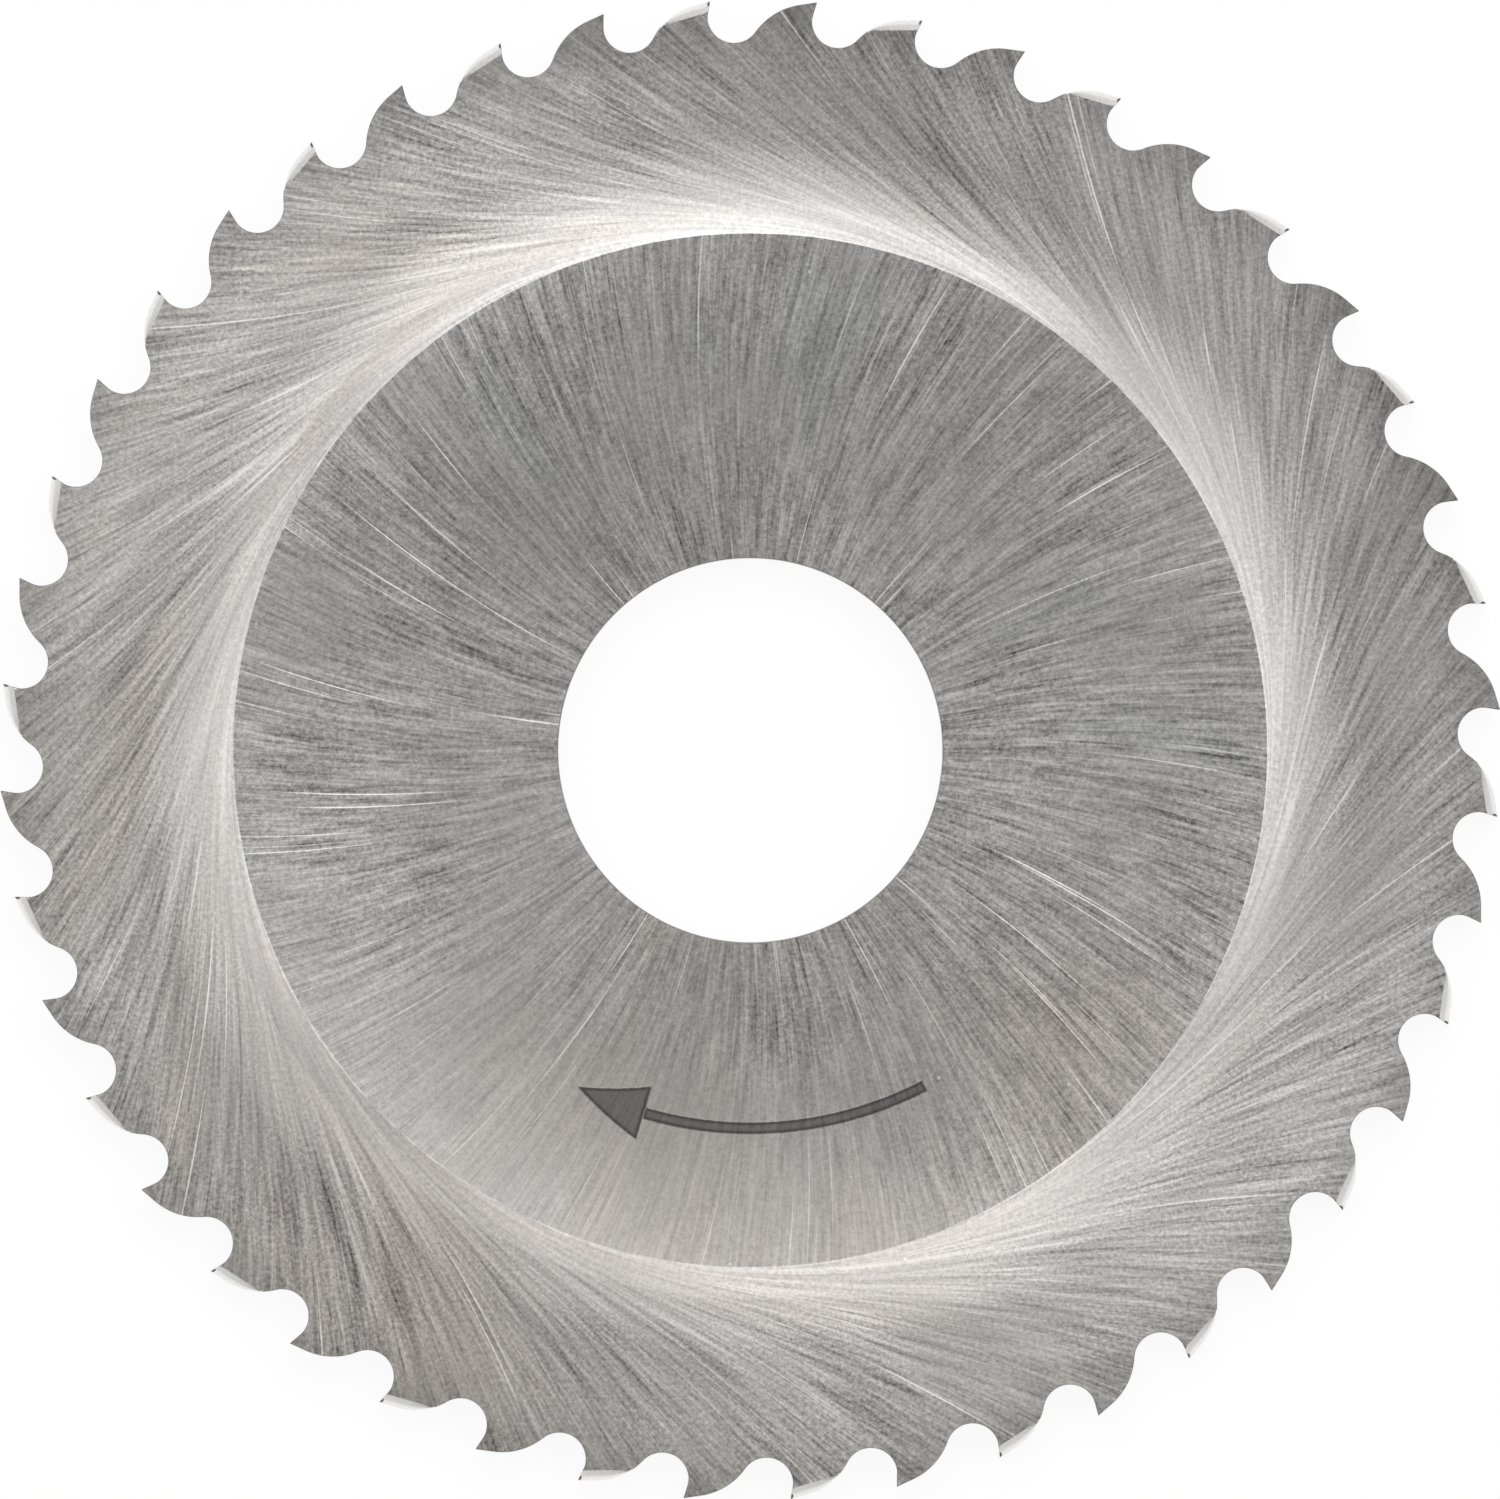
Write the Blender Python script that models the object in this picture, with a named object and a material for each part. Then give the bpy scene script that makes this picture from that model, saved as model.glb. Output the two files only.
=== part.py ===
"""Slitting saw: one disc of high-speed steel, in metres, lying flat with +Z up.

The origin is the centre of the bore on the lower hub face. The hub around the bore keeps the
full thickness. Outside it both flanks are hollow ground: they drop by a small shoulder and rise
again towards the tips. Seen from +Z the curved teeth point clockwise, and every tooth is
bevelled at one corner only, by turns on the lower and on the upper flank.
"""

import cmath
import math

import bmesh
import bpy

MM = 0.001
DEGREE = math.pi / 180

# Disc
BORE_DIAMETER = 16.0 * MM
TIP_DIAMETER = 62.4 * MM
THICKNESS = 1.6 * MM
HUB_DIAMETER = 43.0 * MM

# Hollow-ground flanks, each measured from the full thickness
SHOULDER_WIDTH = 0.15 * MM
FLANK_TAPER = 0.08 * MM
FLANK_HOLLOW = 0.01 * MM

# Teeth
TOOTH_COUNT = 44
TOOTH_DEPTH = 1.8 * MM
GULLET_RADIUS = 1.1 * MM
LAND_LENGTH = 0.74 * MM
RAKE_ANGLE = 13.0 * DEGREE
CLEARANCE_ANGLE = 13.5 * DEGREE

# Corner bevel of each tooth
BEVEL_WIDTH = 0.45 * MM
BEVEL_ANGLE = 45.0 * DEGREE

# Fineness of the curves
LATHE_STEPS_PER_TOOTH = 3
FLANK_STEPS = 3
BACK_STEPS = 6
GULLET_STEPS = 10

# The sharpest bend that is shaded as a smooth one
SMOOTH_ANGLE = 25.0 * DEGREE

# Finish
STEEL_COLOUR = (0.62, 0.61, 0.595, 1.0)
STEEL_ROUGHNESS = 0.34

# Worked out from the sizes above
BORE_RADIUS = BORE_DIAMETER / 2
HUB_RADIUS = HUB_DIAMETER / 2
TIP_RADIUS = TIP_DIAMETER / 2
FLANK_RADIUS = HUB_RADIUS + SHOULDER_WIDTH
TOOTH_PITCH = 2 * math.pi / TOOTH_COUNT
LATHE_STEP = TOOTH_PITCH / LATHE_STEPS_PER_TOOTH

# Each tip lies over the middle of a lathe facet, where this radius of the section reaches it
RIM_RADIUS = TIP_RADIUS / math.cos(LATHE_STEP / 2)

# How far each cutting tool reaches past the metal
TOOL_OVERRUN = THICKNESS / 3


def clear_scene():
    """Remove every object, so that the script always starts from nothing."""
    for obj in list(bpy.data.objects):
        bpy.data.objects.remove(obj, do_unlink=True)


def steel_material():
    """Bright ground high-speed steel."""
    material = bpy.data.materials.new("ground_steel")
    material.use_nodes = True
    shader = material.node_tree.nodes["Principled BSDF"]
    shader.inputs["Base Color"].default_value = STEEL_COLOUR
    shader.inputs["Metallic"].default_value = 1.0
    shader.inputs["Roughness"].default_value = STEEL_ROUGHNESS
    return material


def new_object(name, bm):
    """Put a bmesh into a new object of the scene, with all its faces turned outwards."""
    bmesh.ops.recalc_face_normals(bm, faces=bm.faces)
    mesh = bpy.data.meshes.new(name)
    bm.to_mesh(mesh)
    bm.free()
    obj = bpy.data.objects.new(name, mesh)
    bpy.context.scene.collection.objects.link(obj)
    return obj


def flank_drop(radius):
    """Depth of a flank below the full thickness: a cone that rises to the tips, a little hollowed."""
    share = (radius - FLANK_RADIUS) / (RIM_RADIUS - FLANK_RADIUS)
    return FLANK_TAPER * (1 - share) + 4 * FLANK_HOLLOW * share * (1 - share)


def blank_section():
    """Half section of the ground disc before its teeth, as (radius, height) points in order.

    The flank's last straight stretch runs on past the tips, where the teeth are cut from it.
    """
    drops = [(BORE_RADIUS, 0.0), (HUB_RADIUS, 0.0)]
    for step in range(FLANK_STEPS):
        radius = FLANK_RADIUS + (RIM_RADIUS - FLANK_RADIUS) * step / FLANK_STEPS
        drops.append((radius, flank_drop(radius)))
    last_radius, last_drop = drops[-1]
    rise_past_tips = last_drop * TOOL_OVERRUN / (RIM_RADIUS - last_radius)
    drops.append((RIM_RADIUS + TOOL_OVERRUN, -rise_past_tips))
    upper = [(radius, THICKNESS - drop) for radius, drop in drops]
    lower = [(radius, drop) for radius, drop in reversed(drops)]
    return upper + lower


def turn_blank():
    """Turn the half section once around the Z axis, starting half a step past a tooth's tip."""
    start = cmath.rect(1.0, LATHE_STEP / 2)
    bm = bmesh.new()
    ring = []
    for radius, height in blank_section():
        ring.append(bm.verts.new((radius * start.real, radius * start.imag, height)))
    edges = []
    for index, vert in enumerate(ring):
        edges.append(bm.edges.new((vert, ring[(index + 1) % len(ring)])))
    bmesh.ops.spin(
        bm, geom=ring + edges, cent=(0, 0, 0), axis=(0, 0, 1),
        angle=2 * math.pi, steps=LATHE_STEPS_PER_TOOTH * TOOTH_COUNT, use_merge=True,
    )
    return new_object("saw_blade", bm)


def along(vector, direction):
    """Length of a plane vector measured along a unit direction."""
    return (vector * direction.conjugate()).real


def arc(centre, start, sweep, steps):
    """Points of an arc from start, turned about centre by sweep, without its last point."""
    return [centre + (start - centre) * cmath.rect(1.0, sweep * step / steps) for step in range(steps)]


def land_directions():
    """Unit vectors at the tip (TIP_RADIUS, 0): back along the land, and from the land inwards."""
    return cmath.rect(1.0, math.pi / 2 + CLEARANCE_ANGLE), -cmath.rect(1.0, CLEARANCE_ANGLE)


def gullet_behind():
    """Centre of the gullet behind the tip (TIP_RADIUS, 0), and the foot of the next tooth's face.

    The face leaves its tip at the rake angle and runs straight until it touches the gullet
    circle, whose lowest point lies TOOTH_DEPTH below the tips.
    """
    down_face = -cmath.rect(1.0, -RAKE_ANGLE)
    off_face = -cmath.rect(1.0, math.pi / 2 - RAKE_ANGLE)
    centre_radius = TIP_RADIUS - TOOTH_DEPTH + GULLET_RADIUS
    level = TIP_RADIUS + off_face * GULLET_RADIUS
    fall = -along(level, down_face)
    face_length = fall - math.sqrt(fall * fall - abs(level) ** 2 + centre_radius ** 2)
    next_tooth = cmath.rect(1.0, TOOTH_PITCH)
    centre = (level + down_face * face_length) * next_tooth
    foot = (TIP_RADIUS + down_face * face_length) * next_tooth
    return centre, foot


def tooth_points():
    """Outline of one tooth and of the gullet behind it, counter-clockwise from its tip.

    A straight land, a convex back arc tangent to the land, and the gullet arc tangent to the
    back and to the next tooth's face.
    """
    tip = complex(TIP_RADIUS, 0)
    land_back, land_inward = land_directions()
    centre, foot = gullet_behind()
    heel = tip + land_back * LAND_LENGTH
    offset = heel - centre
    room = GULLET_RADIUS - along(offset, land_inward)
    back_radius = (abs(offset) ** 2 - GULLET_RADIUS ** 2) / (2 * room)
    back_centre = heel + land_inward * back_radius
    join = centre + (back_centre - centre) * GULLET_RADIUS / (GULLET_RADIUS + back_radius)
    back_sweep = cmath.phase((join - back_centre) / (heel - back_centre))
    gullet_sweep = -(cmath.phase((join - centre) / (foot - centre)) % (2 * math.pi))
    points = [tip]
    points += arc(back_centre, heel, back_sweep, BACK_STEPS)
    points += arc(centre, join, gullet_sweep, GULLET_STEPS)
    points.append(foot)
    return points


def tooth_ring():
    """Prism with the outline of all the teeth, taller than the disc on both sides."""
    bm = bmesh.new()
    outline = []
    for tooth in range(TOOTH_COUNT):
        turn = cmath.rect(1.0, tooth * TOOTH_PITCH)
        for point in tooth_points():
            place = point * turn
            outline.append(bm.verts.new((place.real, place.imag, -TOOL_OVERRUN)))
    floor = bm.faces.new(outline)
    extruded = bmesh.ops.extrude_face_region(bm, geom=[floor])
    raised = [item for item in extruded["geom"] if isinstance(item, bmesh.types.BMVert)]
    bmesh.ops.translate(bm, verts=raised, vec=(0, 0, THICKNESS + 2 * TOOL_OVERRUN))
    return new_object("tooth_outline_tool", bm)


def add_bevel_wedge(bm, turn, upper):
    """One wedge that takes the corner off a tooth: a three-sided bar laid along the land.

    Its cutting side meets the flank BEVEL_WIDTH inside the land and leans at BEVEL_ANGLE. The
    bar starts ahead of the tooth's face and ends over the middle of the gullet behind it.
    """
    land_back, land_inward = land_directions()
    centre, _ = gullet_behind()
    front = -GULLET_RADIUS / 2
    rear = along(centre - TIP_RADIUS, land_back)
    slope = math.tan(BEVEL_ANGLE)
    corners = [
        (BEVEL_WIDTH + TOOL_OVERRUN / slope, TOOL_OVERRUN),
        (-TOOL_OVERRUN / slope, -BEVEL_WIDTH * slope - TOOL_OVERRUN),
        (-TOOL_OVERRUN / slope, TOOL_OVERRUN),
    ]
    rings = []
    for reach in (front, rear):
        ring = []
        for inward, rise in corners:
            place = (TIP_RADIUS + land_back * reach + land_inward * inward) * turn
            height = THICKNESS + rise if upper else -rise
            ring.append(bm.verts.new((place.real, place.imag, height)))
        bm.faces.new(ring)
        rings.append(ring)
    for side in range(len(corners)):
        after = (side + 1) % len(corners)
        bm.faces.new((rings[0][side], rings[0][after], rings[1][after], rings[1][side]))


def bevel_wedges():
    """The wedges for all teeth: odd teeth lose the upper corner, even teeth the lower one."""
    bm = bmesh.new()
    for tooth in range(TOOTH_COUNT):
        add_bevel_wedge(bm, cmath.rect(1.0, tooth * TOOTH_PITCH), upper=tooth % 2 == 1)
    return new_object("bevel_tool", bm)


def cut(blade, tool, operation):
    """Cut the blade with a tool, and hide the tool."""
    tool.hide_render = True
    tool.display_type = "WIRE"
    modifier = blade.modifiers.new(tool.name, "BOOLEAN")
    modifier.object = tool
    modifier.operation = operation
    modifier.solver = "EXACT"


def settle(blade, tools):
    """Make the cuts part of the blade's own mesh, smooth it up to its edges, drop the tools."""
    depsgraph = bpy.context.evaluated_depsgraph_get()
    mesh = bpy.data.meshes.new_from_object(blade.evaluated_get(depsgraph))
    mesh.name = blade.name
    blade.modifiers.clear()
    blade.data = mesh
    mesh.shade_smooth()
    mesh.set_sharp_from_angle(angle=SMOOTH_ANGLE)
    for tool in tools:
        bpy.data.objects.remove(tool, do_unlink=True)


def build_saw():
    """Turn the blank, grind the teeth into its rim, then bevel their corners."""
    blade = turn_blank()
    blade.data.materials.append(steel_material())
    outline = tooth_ring()
    wedges = bevel_wedges()
    cut(blade, outline, "INTERSECT")
    cut(blade, wedges, "DIFFERENCE")
    settle(blade, [outline, wedges])


clear_scene()
build_saw()
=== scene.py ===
"""Looks of the slitting saw: its ground steel in fine detail, lying in a pale studio.

The blade is one closed surface laid out on a grid. Its columns run outwards along the grinding
grooves, and its rows run round the disc. Lengths are in metres and angles in radians; the
materials measure in millimetres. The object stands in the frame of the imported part: the bore's
axis is Z, the lower hub face lies at zero height and one tooth points along +X.
"""

import math

import bpy
import numpy as np
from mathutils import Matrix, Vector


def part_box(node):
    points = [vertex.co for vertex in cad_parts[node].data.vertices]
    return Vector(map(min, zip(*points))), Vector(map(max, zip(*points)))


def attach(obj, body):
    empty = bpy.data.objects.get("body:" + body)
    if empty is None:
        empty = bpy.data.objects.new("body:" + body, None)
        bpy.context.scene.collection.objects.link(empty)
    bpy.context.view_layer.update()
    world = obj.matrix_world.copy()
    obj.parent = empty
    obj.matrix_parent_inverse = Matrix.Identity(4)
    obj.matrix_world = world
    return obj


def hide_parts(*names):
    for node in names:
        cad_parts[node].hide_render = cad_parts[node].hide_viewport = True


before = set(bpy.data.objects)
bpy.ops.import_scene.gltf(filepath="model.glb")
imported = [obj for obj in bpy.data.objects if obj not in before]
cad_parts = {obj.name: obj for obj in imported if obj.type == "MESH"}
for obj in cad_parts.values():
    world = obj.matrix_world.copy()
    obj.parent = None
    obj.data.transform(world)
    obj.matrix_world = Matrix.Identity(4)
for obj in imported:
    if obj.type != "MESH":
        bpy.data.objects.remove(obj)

bl_info = {
    "name": "Slitting saw looks",
    "version": (1, 0, 0),
    "blender": (4, 5, 0),
    "location": "3D View > Sidebar > Slitting Saw",
    "description": "Builds the ground steel blade around its packed frame, and a pale studio",
    "category": "Object",
}

MM = 0.001
DEGREE = math.pi / 180
NODE = "saw_blade"
BODY = "root"
PIECE = "ground_blade"

# What the frame says about the disc
BOX_LOW, BOX_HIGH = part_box(NODE)
FRAME_POINTS = np.array([vertex.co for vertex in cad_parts[NODE].data.vertices])
BORE_RADIUS = float(np.hypot(FRAME_POINTS[:, 0], FRAME_POINTS[:, 1]).min())
TIP_RADIUS = (BOX_HIGH.x - BOX_LOW.x) / 2
THICKNESS = BOX_HIGH.z - BOX_LOW.z

# Columns of the grid over one tooth, from its tip backwards
LAND_COLUMNS = 3
BACK_COLUMNS = 12
GULLET_COLUMNS = 23
FACE_COLUMNS = 8
TOOTH_COLUMNS = LAND_COLUMNS + BACK_COLUMNS + GULLET_COLUMNS + FACE_COLUMNS

# Rows of the grid over one side
RING_ROWS = 4
FLANK_ROWS = 6
TOOTH_ROWS = 3
BEVEL_ROWS = 2

# Exponent that draws the rows of the ring together beside the hub
RING_SPACING = 1.6

# Where the crease between flank and bevel lies at most, as a share of the way to the outline, and
# the share of the bevel's width within which a column's outer end counts as bevelled
CREASE_LIMIT = 0.985
BEVEL_SHARE = 0.98

# Where the columns of the land, the back, the gullet and the face leave the last round row, in
# pitches behind the tip. The face leans forward, so its columns start far behind it.
COLUMN_LEADS = (0.34, 0.46, 0.61, 1.31)

# The sharpest bend that is shaded as a smooth one
SMOOTH_ANGLE = 22 * DEGREE

# Fall of the surface over the width of the hub's broken edge, against that width
HUB_EDGE_SLOPE = 0.08

# Grinding grooves in millimetres. On the hub they are nearly radial and bend a little; on the
# flanks they leave the hub's edge almost along it and swing outwards.
HUB_GROOVE_BEND = (0.91, 0.0086)
FLANK_GROOVE_SWING = 0.27
GROOVE_START = 0.15

# Layout of the bake map, as shares of its side
MAP_GAP = 0.0055
HUB_STRIPS = 2
FLANK_STRIPS = 4
WALL_STRIPS = 2
HUB_STRIP_WIDTH = 0.080
FLANK_STRIP_WIDTH = 0.0765
RING_STRIP_HEIGHT = 0.024
WALL_STRIP_HEIGHT = 0.012
STRIP_PAD = 0.03

# Grain that hub and flanks share. The finer and broader streaks are shares of the main streaks'
# width and length. Here and below, sizes are in millimetres, a scale is a noise's cells for each
# millimetre, and a pair of numbers is a range.
CROSSING_WIDTH = 0.3
CROSSING_LENGTH = 0.35
HAIR_WIDTH = 0.13
HAIR_LENGTH = 1.6
TINT_WIDTH = 5
SCRATCH_RAMP = 0.12
NICK_RAMP = 0.05
DARK_SCRATCH = 0.4
GRAIN_SIZE = 0.17
SPECK_SPACING = 1.8
SPECK_SIZE = 0.08
PATCH_SIZE = 7.0
PATCH_TONE = (0.7, 1.1)
CLOUD_SCALE = 0.12
HUB_CLOUD_TONE = (0.96, 1.04)
FLANK_CLOUD_TONE = (0.97, 1.03)

# Steps that keep the noise of the two sides apart, and that of neighbouring streak cylinders
SIDE_STEP = 57.0
CYLINDER_STEP = 17.3

# The calmer stretch round the arrow, whose colour is also a little lighter as painted light, and the
# warmer half of the hub
CALM_FACING = (0.55, 0.95)
CALM_FADE = 5.0
CALM_PAINTED_LIGHT = 0.05
WARM_FACING = (0.2, 0.8)

# Deep scratches on the hub are strongest at its left and right; on the flanks they are weaker
TORN_FACING = (0.3, 0.7)
TORN_LEAST = 0.3
FLANK_TORN = 0.6

# The etched arrow: unit normal of its head's slanted sides, along and across the arc, then its
# uneven outline, its depth and the darker line just inside the outline
HEAD_SLANT = (0.36, 0.93)
WOBBLE_SCALE = 5.0
WOBBLE_WIDTH = 0.05
MARK_EDGE = (0.02, -0.03)
MARK_DEPTH = 1.2
MARK_ROUGHNESS = 0.15
MARK_RIM_DEPTH = 0.07
MARK_RIM_FADE = (0.02, 0.1)
MARK_RIM_LOSS = 0.45

# The flank beside the hub: its hollow, its finer finish with a painted sheen that lightens its colour,
# and the hub's ragged edge
FILLET_REACH = (0.6, 4.0)
POLISH_AND_SHEEN_START = 0.2
RAGGED_SIZE = 1.6
RAGGED_NOISE = (0.42, 0.72)
GLINT_FADE = 0.03

# Bevels: a mottle read on the unrolled rim, with the millimetres that a radian counts as, a fine
# grain, and a dark spot at each tip whose darkest core is a share of its radius
BEVEL_MOTTLE_REACH = 40.0
BEVEL_MOTTLE_SCALE = 6.0
BEVEL_MOTTLE_TONE = (0.92, 1.06)
BEVEL_GRAIN_SIZE = 0.09
BEVEL_GRAIN_TONE = (0.96, 1.04)
BEVEL_ROUGHNESS = (0.24, 0.34)
TIP_SPOT_CORE = 0.7

# Walls and broken edges: the lines are a noise drawn out from side to side
EDGE_LINE_FLATTEN = 0.15
EDGE_LINE_SCALE = 9.0
EDGE_LINE_TONE = (0.8, 1.15)
EDGE_GRAIN_SIZE = 0.1
EDGE_GRAIN_TONE = (0.93, 1.07)
EDGE_ROUGHNESS = (0.3, 0.48)

# The floor's level in metres, its points along one side, and its faint clouds
FLOOR_HEIGHT = -0.01 * MM
FLOOR_POINTS = 9
FLOOR_CLOUD_SCALE = 0.02
FLOOR_CLOUD_TONE = (0.995, 1.0)

# Width of the picture in pixels
PICTURE_WIDTH = 1500

# The lighting plan: name, azimuth clockwise from +Y and elevation in degrees, side
# in metres, and power as a share of a key lamp's
LAMPS = (
    ("key_left_lamp", 345, 45, 0.32, 1.0),
    ("key_right_lamp", 15, 45, 0.32, 1.0),
    ("upper_right_lamp", 45, 45, 0.32, 0.4),
    ("right_lamp", 75, 45, 0.32, 0.4),
    ("right_fill_lamp", 90, 45, 0.32, 0.5),
    ("left_lamp", 270, 45, 0.32, 0.6),
    ("lower_right_high_lamp", 150, 62, 0.26, 0.25),
    ("foot_high_lamp", 180, 62, 0.26, 0.125),
    ("upper_left_high_lamp", 300, 62, 0.26, 0.2),
    ("overhead_lamp", 210, 77, 0.08, 0.03),
)


# Geometry of the blade


def along(vector, direction):
    """Length of plane vectors, held as complex numbers, measured along a unit direction."""
    return (vector * np.conj(direction)).real


def turned(angle):
    """Unit vectors at these angles, as complex numbers."""
    return np.exp(1j * np.asarray(angle, float))


def tooth_outline(sizes):
    """Outline from the tip on +X backwards to the next tip, without that one, as complex numbers.

    A straight land leaves the tip at the clearance angle. A convex arc follows it, tangent to the
    land, then the gullet arc, tangent to the back and to the next tooth's face, which runs
    straight up to its tip at the rake angle.
    """
    tip = TIP_RADIUS
    land_back = turned(math.pi / 2 + sizes.clearance_angle)
    land_inward = -turned(sizes.clearance_angle)
    down_face = -turned(-sizes.rake_angle)
    off_face = -turned(math.pi / 2 - sizes.rake_angle)
    level = tip + off_face * sizes.gullet_radius
    fall = -along(level, down_face)
    centre_radius = tip - sizes.tooth_depth + sizes.gullet_radius
    face_length = fall - np.sqrt(fall ** 2 - abs(level) ** 2 + centre_radius ** 2)
    next_tooth = turned(2 * math.pi / sizes.tooth_count)
    centre = (level + down_face * face_length) * next_tooth
    foot = (tip + down_face * face_length) * next_tooth

    heel = tip + land_back * sizes.land_length
    offset = heel - centre
    room = sizes.gullet_radius - along(offset, land_inward)
    back_radius = (abs(offset) ** 2 - sizes.gullet_radius ** 2) / (2 * room)
    back_centre = heel + land_inward * back_radius
    share = sizes.gullet_radius / (sizes.gullet_radius + back_radius)
    join = centre + (back_centre - centre) * share
    back_sweep = np.angle((join - back_centre) / (heel - back_centre))
    gullet_sweep = -(np.angle((join - centre) / (foot - centre)) % (2 * math.pi))

    def steps(count):
        return np.arange(count) / count

    land = tip + land_back * sizes.land_length * steps(LAND_COLUMNS)
    back = back_centre + (heel - back_centre) * turned(back_sweep * steps(BACK_COLUMNS))
    gullet = centre + (join - centre) * turned(gullet_sweep * steps(GULLET_COLUMNS))
    face = foot + (tip * next_tooth - foot) * steps(FACE_COLUMNS)
    return np.concatenate([land, back, gullet, face])


def ring_of(points, count):
    """The same points for every tooth, one tooth after the other."""
    turns = turned(2 * math.pi * np.arange(count) / count)
    return (turns[:, None] * points[None, :]).ravel()


def inset(outline, depth):
    """The closed outline moved inwards by depth: each point goes along the mean of the inward
    normals of its two sides, lengthened so that both sides move by the depth."""
    side = np.roll(outline, -1) - outline
    normal = 1j * side / abs(side)
    before = np.roll(normal, 1)
    return outline + depth * (normal + before) / (1 + along(normal, before))


def below_land(points, tooth, sizes):
    """How far points lie inside the line of the given tooth's land."""
    turn = turned(2 * math.pi * tooth / sizes.tooth_count)
    return along(points / turn - TIP_RADIUS, -turned(sizes.clearance_angle))


def bevelled_columns(count, parity):
    """Owner of each column of the grid, and whether a corner bevel of the given parity cuts it.

    A tooth owns the columns of its face, its land, its back and the gullet behind it. Its bevel
    starts at the face and ends over the middle of that gullet.
    """
    owner, step = np.divmod(np.arange(count * TOOTH_COLUMNS) + FACE_COLUMNS, TOOTH_COLUMNS)
    reached = step < FACE_COLUMNS + LAND_COLUMNS + BACK_COLUMNS + GULLET_COLUMNS // 2
    return owner, (owner % 2 == parity) & reached


def flank_drop(radius, sizes):
    """Depth of the flank below the full thickness at each radius.

    A cone that rises to the tips with a slight hollow, plus a fillet at the hub's edge: a
    parabola that starts at the hub's height and runs out tangent to the cone.
    """
    hub = sizes.hub_diameter / 2
    share = np.clip((radius - hub) / (TIP_RADIUS - hub), 0, 1)
    cone = sizes.flank_taper * (1 - share) + 4 * sizes.flank_hollow * share * (1 - share)
    left = np.clip(1 - (radius - hub) / sizes.fillet_width, 0, 1)
    return cone - sizes.flank_taper * left ** 2


def groove_turn(radius, sizes):
    """Angle by which a grinding groove has swung, counter-clockwise, at each radius.

    On the hub it is a term in one over the radius plus a term in the radius. Over the ring beside
    the hub it stays the same. On the flank it is the logarithm of the distance from the hub.
    """
    hub = sizes.hub_diameter / 2
    start = hub + sizes.edge_ring
    inverse, linear = HUB_GROOVE_BEND
    at_hub = np.minimum(radius, hub) / MM
    hub_part = inverse / (hub / MM) + linear * hub / MM - inverse / at_hub - linear * at_hub
    reach = (np.maximum(radius, start) - hub) / MM + GROOVE_START
    first = (start - hub) / MM + GROOVE_START
    return hub_part + FLANK_GROOVE_SWING * np.log(reach / first)


def blade_grid(sizes):
    """Points of the closed blade surface, with what its parts are called.

    Returns (places, heights, zones): complex places and heights of rows by columns, and the name
    of the zone between each row and the next. The upper side's rows run outwards, the lower
    side's back inwards, and the bore's wall closes the last row on the first.
    """
    hub = sizes.hub_diameter / 2
    start = hub + sizes.edge_ring
    rim = TIP_RADIUS - sizes.tooth_depth - sizes.rim_margin
    count = sizes.tooth_count
    pitch = 2 * math.pi / count
    outline = ring_of(tooth_outline(sizes), count)
    inner = inset(outline, sizes.edge_break)
    column = np.arange(count * TOOTH_COLUMNS)
    tooth, step = np.divmod(column, TOOTH_COLUMNS)
    joints = np.cumsum([0, LAND_COLUMNS, BACK_COLUMNS, GULLET_COLUMNS, FACE_COLUMNS])
    leads = COLUMN_LEADS + (1 + COLUMN_LEADS[0],)
    angle = (tooth + np.interp(step, joints, leads)) * pitch
    swing_at_rim = groove_turn(rim, sizes)

    ring = hub + (start - hub) * (np.arange(1, RING_ROWS + 1) / RING_ROWS) ** RING_SPACING
    flank = start + (rim - start) * np.arange(1, FLANK_ROWS + 1) / FLANK_ROWS
    radii = np.concatenate([
        [BORE_RADIUS, BORE_RADIUS + sizes.edge_break, (BORE_RADIUS + hub) / 2],
        [hub - sizes.edge_break, hub], ring, flank,
    ])
    drops = flank_drop(radii, sizes)
    drops[0] = sizes.edge_break
    drops[3] = 0.0
    drops[4] = sizes.edge_break * HUB_EDGE_SLOPE
    drops[5:] = np.maximum(drops[5:], drops[4])
    zones = ["bore_edge", "hub", "hub", "ring"] + ["ring"] * RING_ROWS + ["flank"] * FLANK_ROWS
    swing = groove_turn(radii, sizes) - swing_at_rim
    disc = radii[:, None] * turned(angle[None, :] + swing[:, None])
    base = disc[-1]

    sides = []
    for parity in (1, 0):
        owner, bevelled = bevelled_columns(count, parity)
        at_base = below_land(base, owner, sizes)
        at_edge = below_land(inner, owner, sizes)
        reach = (at_base - sizes.bevel_width) / (at_base - at_edge)
        crease = np.where(bevelled, np.clip(reach, 0, CREASE_LIMIT), CREASE_LIMIT)
        steps = [crease * step / TOOTH_ROWS for step in range(1, TOOTH_ROWS + 1)]
        steps += [crease + (1 - crease) * step / BEVEL_ROWS for step in range(1, BEVEL_ROWS + 1)]
        teeth = base + (inner - base) * np.array(steps)
        places = np.concatenate([disc, teeth, outline[None, :]])
        drop = flank_drop(abs(places), sizes)
        drop[:len(radii)] = drops[:, None]
        slope = math.tan(sizes.bevel_angle)
        plane = (sizes.bevel_width - below_land(places, owner[None, :], sizes)) * slope
        drop = np.where(bevelled[None, :], np.maximum(drop, plane), drop)
        drop[-1] += sizes.edge_break
        sides.append((places, drop))
    zones += ["flank"] * TOOTH_ROWS + ["bevel"] * BEVEL_ROWS + ["tooth_edge"]
    upper, lower = sides
    places = np.concatenate([upper[0], lower[0][::-1]])
    heights = np.concatenate([THICKNESS - upper[1], lower[1][::-1]])
    return places, heights, zones + ["tooth_wall"] + zones[::-1] + ["bore_wall"]


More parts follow.
